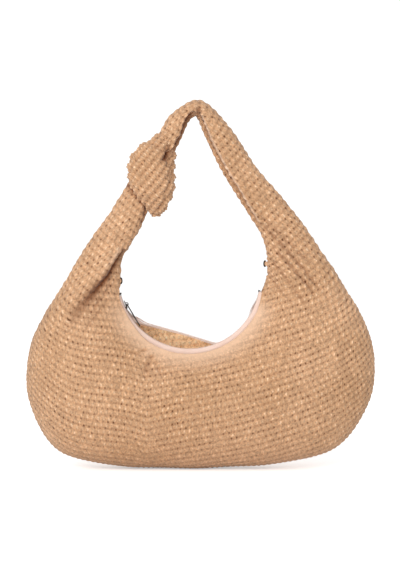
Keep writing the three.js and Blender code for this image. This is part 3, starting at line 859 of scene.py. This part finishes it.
class Shader:
    """A new material with a Principled shader, and short calls to add and link its nodes."""

    def __init__(self, name, roughness, metallic=0.0):
        self.material = bpy.data.materials.new(name)
        self.material.use_nodes = True
        self.tree = self.material.node_tree
        self.surface = self.tree.nodes["Principled BSDF"]
        self.surface.inputs["Roughness"].default_value = roughness
        self.surface.inputs["Metallic"].default_value = metallic

    def put(self, socket, value):
        if isinstance(value, bpy.types.NodeSocket):
            self.tree.links.new(value, socket)
        elif value is not None:
            socket.default_value = value

    def node(self, kind, inputs=(), **settings):
        made = self.tree.nodes.new(kind)
        for key, value in settings.items():
            setattr(made, key, value)
        for key, value in dict(inputs).items():
            self.put(made.inputs[key], value)
        return made

    def math(self, operation, a, b=None):
        return self.node("ShaderNodeMath", {0: a, 1: b}, operation=operation).outputs[0]

    def noise(self, where, scale, detail=2.0, rough=0.5):
        inputs = {"Vector": where, "Scale": scale, "Detail": detail, "Roughness": rough}
        return self.node("ShaderNodeTexNoise", inputs).outputs["Fac"]

    def mix(self, share, a, b, blend="MIX"):
        made = self.node("ShaderNodeMix", data_type="RGBA", blend_type=blend)
        self.put(made.inputs["Factor"], share)
        self.put(made.inputs["A"], a)
        self.put(made.inputs["B"], b)
        return made.outputs["Result"]

    def span(self, value, low, high, to_low=0.0, to_high=1.0):
        inputs = {"Value": value, "From Min": low, "From Max": high, "To Min": to_low, "To Max": to_high}
        return self.node("ShaderNodeMapRange", inputs).outputs["Result"]

    def bump(self, height, distance, strength):
        inputs = {"Height": height, "Distance": distance, "Strength": strength}
        return self.node("ShaderNodeBump", inputs).outputs["Normal"]

    def place(self):
        return self.node("ShaderNodeTexCoord").outputs["Object"]


def knit_material(name, body, stitches, hole):
    """Chunky two-ply knit: painted highlights on the stitches, painted shade between them, and twisted yarn.

    body is a dark and a light colour of the yarn. stitches is a painted shade colour for the valleys between
    rows and a painted highlight colour for the stitches' tops. hole is the painted shade in the holes.
    """
    m = Shader(name, 0.85)
    where = m.place()
    layers = []
    # The second layer holds the stitches' strength and the painted shade of folds and creases.
    for layer in ("Stitches", "Tone"):
        uv = m.node("ShaderNodeUVMap", uv_map=layer).outputs["UV"]
        parts = m.node("ShaderNodeSeparateXYZ", {"Vector": uv})
        layers += [parts.outputs["X"], parts.outputs["Y"]]
    u, v, strength, shade = layers
    uneven = m.span(m.noise(where, 160, 2), 0, 1, -0.12, 0.12)
    shifted = m.math("ADD", u, uneven)
    rising, falling = m.math("ADD", shifted, v), m.math("SUBTRACT", shifted, v)
    turned = lambda turns: m.math("COSINE", m.math("MULTIPLY", turns, 2 * np.pi))
    wave = lambda turns, size: m.math("MULTIPLY", turned(turns), size)
    row = wave(m.math("MULTIPLY", v, 2.0), 1.0)
    slants = m.math("ADD", wave(rising, RISING_WAVE), wave(falling, FALLING_WAVE))
    height = m.math("MULTIPLY", m.math("ADD", slants, m.math("MULTIPLY", row, ROW_WAVE)), strength)
    gap = m.math("SUBTRACT", wave(falling, 0.5), wave(rising, 0.5))
    whole = lambda turns: m.math("FLOOR", m.math("ADD", turns, 0.5))
    stitch = m.node("ShaderNodeCombineXYZ", {"X": whole(rising), "Y": whole(falling)}).outputs["Vector"]
    chance = m.node("ShaderNodeTexWhiteNoise", {"Vector": stitch}, noise_dimensions="3D").outputs["Value"]
    cloud = m.span(m.noise(where, 420, 3, 0.6), 0.3, 0.7, -0.4, 0.4)
    base = m.mix(m.span(m.noise(where, 14, 3), 0.35, 0.65), *body)
    patchy = m.span(m.noise(where, 45, 2), 0.35, 0.65, 0.55, 1.1)
    # Painted shade: the valleys between rows are darkened towards the stitches' dark colour.
    between = m.span(m.math("ADD", row, cloud), 0.2, -1.1, 0, 0.42)
    base = m.mix(m.math("MULTIPLY", between, patchy), base, stitches[0])
    # Painted highlights: the stitches' tops are lightened towards their light colour.
    painted_highlight_mask = m.span(m.math("ADD", height, cloud), 0.45, 1.25, 0, 1)
    with_painted_highlights = m.mix(m.math("MULTIPLY", painted_highlight_mask, m.span(chance, 0, 1, 0.1, 1)), base, stitches[1])
    # Painted shade in the holes between stitches, mixed in below.
    pit = m.math("MULTIPLY", m.span(gap, 0.25, 0.95), m.span(row, -0.1, -0.9))
    pit = m.math("MULTIPLY", pit, m.span(strength, 0.5, 1.0))
    painted_hole_shade = m.math("MULTIPLY", pit, m.span(m.noise(where, 170, 1), 0.4, 0.58, 0.1, 1.0))
    grain = m.span(m.noise(where, 430, 3, 0.75), 0.34, 0.66, 0.68, 1.3)
    grain = m.math("MULTIPLY", grain, m.span(chance, 0, 1, 0.92, 1.06))
    colour = m.mix(1.0, m.mix(m.math("MULTIPLY", painted_hole_shade, patchy), with_painted_highlights, hole), grain, "MULTIPLY")
    colour = m.mix(m.span(strength, 0.7, 0.2, 0, 0.55), colour, LIP_LIGHT)
    # Painted shade of folds, creases and the handle's pinch. Below 0: painted highlight on fold ridges and a
    # paler wash near the lip.
    colour = m.mix(m.span(shade, 0, 1), colour, FOLD_SHADE, "MULTIPLY")
    colour = m.mix(m.math("MAXIMUM", m.math("MULTIPLY", shade, -1.0), 0.0), colour, FOLD_LIGHT)
    m.put(m.surface.inputs["Base Color"], colour)
    m.put(m.surface.inputs["Roughness"], m.span(height, -1, 1, 0.95, 0.78))
    m.surface.inputs["Sheen Weight"].default_value = 0.2
    m.surface.inputs["Sheen Roughness"].default_value = 0.5
    m.surface.inputs["Specular IOR Level"].default_value = 0.25
    twist = m.math("ADD", m.math("MULTIPLY", u, 4.0), m.math("MULTIPLY", v, 8.0))
    ply = m.math("SINE", m.math("MULTIPLY", twist, 2 * np.pi))
    yarn = m.math("ADD", m.math("MULTIPLY", ply, 0.25), m.math("MULTIPLY", m.noise(where, 2600, 3), 0.5))
    m.put(m.surface.inputs["Normal"], m.bump(yarn, 0.35 * MM, 0.8))
    return m.material


def woven_material(name, dark, light, pitch, roughness=0.85):
    """Plain woven cloth, with threads of a given pitch in millimetres."""
    m = Shader(name, roughness)
    where = m.place()
    turns = (2 * np.pi / pitch / MM,) * 3
    threads = m.node("ShaderNodeVectorMath", {0: where, 1: turns}, operation="MULTIPLY")
    parts = m.node("ShaderNodeSeparateXYZ", {"Vector": threads.outputs[0]})
    across = m.math("SINE", m.math("ADD", parts.outputs["X"], parts.outputs["Y"]))
    along = m.math("SINE", m.math("SUBTRACT", parts.outputs["Z"], parts.outputs["Y"]))
    weave = m.math("MULTIPLY", across, along)
    cloud = m.span(m.noise(where, 60, 4), 0.3, 0.7)
    share = m.math("ADD", m.math("MULTIPLY", m.span(weave, -1, 1), 0.6), m.math("MULTIPLY", cloud, 0.4))
    m.put(m.surface.inputs["Base Color"], m.mix(share, dark, light))
    m.surface.inputs["Sheen Weight"].default_value = 0.2
    m.put(m.surface.inputs["Normal"], m.bump(weave, 0.12 * MM, 0.7))
    return m.material


def plastic_material():
    """Moulded nylon of the zip's teeth."""
    m = Shader("coil", 0.38)
    cloud = m.noise(m.place(), 300)
    m.put(m.surface.inputs["Base Color"], m.mix(cloud, linear(236, 214, 202), linear(246, 228, 218)))
    m.surface.inputs["Subsurface Weight"].default_value = 0.05
    return m.material


def metal_material():
    """Gunmetal plate, uneven and a little worn."""
    m = Shader("metal", 0.3, 1.0)
    where = m.place()
    worn = m.span(m.noise(where, 900, 4, 0.7), 0.5, 0.75)
    m.put(m.surface.inputs["Base Color"], m.mix(worn, linear(54, 47, 43), linear(92, 84, 80)))
    m.put(m.surface.inputs["Roughness"], m.span(m.noise(where, 400, 3), 0.3, 0.7, 0.22, 0.42))
    m.put(m.surface.inputs["Normal"], m.bump(m.noise(where, 1800, 2), 0.02 * MM, 0.4))
    return m.material


def ride(piece, body):
    """The piece moves with the body."""
    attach(piece, body)
    return piece


# --- Stage --------------------------------------------------------------------------------------------------


LENS, CAMERA_RISE, CAMERA_AWAY = 138.1, np.radians(4), 2.6  # millimetres, angle above level, metres
CAMERA_SHIFT = Vector((-0.0006, 0, 0.0020))  # how far the camera aims off the bag's middle, in metres
FLOOR_SIZE = 6000  # from the middle to a side
FLOOR_GLOW = 0.42  # seen by the camera only, so that the floor meets the backdrop without a line
SKY_LIGHT, SKY_SEEN = 0.66, 1.1  # strength of the backdrop as a light, and as the camera sees it


def area_light(name, place, target, size, power):
    light = bpy.data.lights.new(name, "AREA")
    light.shape = "RECTANGLE"
    light.size, light.size_y = size
    light.energy = power
    lamp = bpy.data.objects.new(name, light)
    lamp.location = place
    lamp.rotation_mode = "QUATERNION"
    lamp.rotation_quaternion = (Vector(target) - Vector(place)).to_track_quat("-Z", "Y")
    bpy.context.scene.collection.objects.link(lamp)


def make_stage():
    """Pale floor, soft studio light and the camera."""
    scene = bpy.context.scene
    floor_material = Shader("floor", 0.9)
    floor_material.surface.inputs["Base Color"].default_value = linear(252, 252, 252)
    floor_material.surface.inputs["Emission Color"].default_value = (1, 1, 1, 1)
    seen = floor_material.node("ShaderNodeLightPath").outputs["Is Camera Ray"]
    glow = floor_material.span(seen, 0, 1, 0, FLOOR_GLOW)
    floor_material.put(floor_material.surface.inputs["Emission Strength"], glow)
    corners = [(x * FLOOR_SIZE, y * FLOOR_SIZE, 0) for x, y in ((-1, -1), (1, -1), (1, 1), (-1, 1))]
    floor = make_piece("floor", corners, [[0, 1, 2, 3]], floor_material.material)
    world = bpy.data.worlds.new("studio")
    world.use_nodes = True
    sky = world.node_tree.nodes["Background"]
    sky.inputs["Color"].default_value = (1, 1, 1, 1)
    seen = world.node_tree.nodes.new("ShaderNodeLightPath").outputs["Is Camera Ray"]
    strength = world.node_tree.nodes.new("ShaderNodeMapRange")
    strength.inputs["To Min"].default_value = SKY_LIGHT
    strength.inputs["To Max"].default_value = SKY_SEEN
    world.node_tree.links.new(seen, strength.inputs["Value"])
    world.node_tree.links.new(strength.outputs["Result"], sky.inputs["Strength"])
    scene.world = world
    scene.view_settings.view_transform = "Standard"
    low, high = cad_box
    middle = Vector(((low.x + high.x) / 2, 0, (low.z + high.z) / 2))
    area_light("key", (-1.3, -1.5, 1.5), middle, (1.0, 1.0), 14)
    area_light("fill", (-0.4, -2.2, 1.2), middle, (0.8, 0.8), 19)
    area_light("back", (0.3, 1.4, 1.3), middle, (1.2, 0.8), 3)
    lens = bpy.data.cameras.new("camera")
    lens.lens = LENS
    lens.clip_end = 50
    camera = bpy.data.objects.new("camera", lens)
    scene.collection.objects.link(camera)
    middle += CAMERA_SHIFT
    away = Vector((0, -CAMERA_AWAY * np.cos(CAMERA_RISE), CAMERA_AWAY * np.sin(CAMERA_RISE)))
    camera.location = middle + away
    camera.rotation_mode = "QUATERNION"
    camera.rotation_quaternion = (middle - camera.location).to_track_quat("-Z", "Y")
    scene.camera = camera


# --- The whole bag ------------------------------------------------------------------------------------------


def main():
    knit = knit_material("knit", BODY, STITCH_SHADE_AND_HIGHLIGHT, HOLE_SHADE)
    lining = knit_material("lining", INSIDE, INSIDE_STITCH_SHADE_AND_HIGHLIGHT, INSIDE_HOLE_SHADE)
    lip = woven_material("lip", linear(200, 152, 114), linear(230, 190, 154), 2.2)
    tape = woven_material("tape", linear(228, 196, 180), linear(241, 217, 204), 0.9, 0.8)
    thread = woven_material("thread", linear(226, 198, 180), linear(244, 224, 210), 0.5, 0.7)
    label = woven_material("label", linear(238, 232, 222), linear(250, 247, 240), 0.4, 0.5)
    coil = plastic_material()
    metal = metal_material()

    for piece, node in zip(make_knit(knit), ("front_panel", "back_panel", "strap_left", "strap_right")):
        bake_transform(piece)
        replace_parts(piece, node)
    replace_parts(ride(make_knot(knit), "handle"), "knot")
    make_mouth(lip, tape, coil, thread)
    make_inside(lining, label)
    for end in RING_BARS:
        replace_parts(ride(make_ring(end, metal), f"ring_{end}"), f"d_ring_{end}")
        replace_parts(ride(make_tab(end, knit), "sack"), f"d_ring_tab_{end}")
    finish_hardware(metal)
    make_stage()


main()
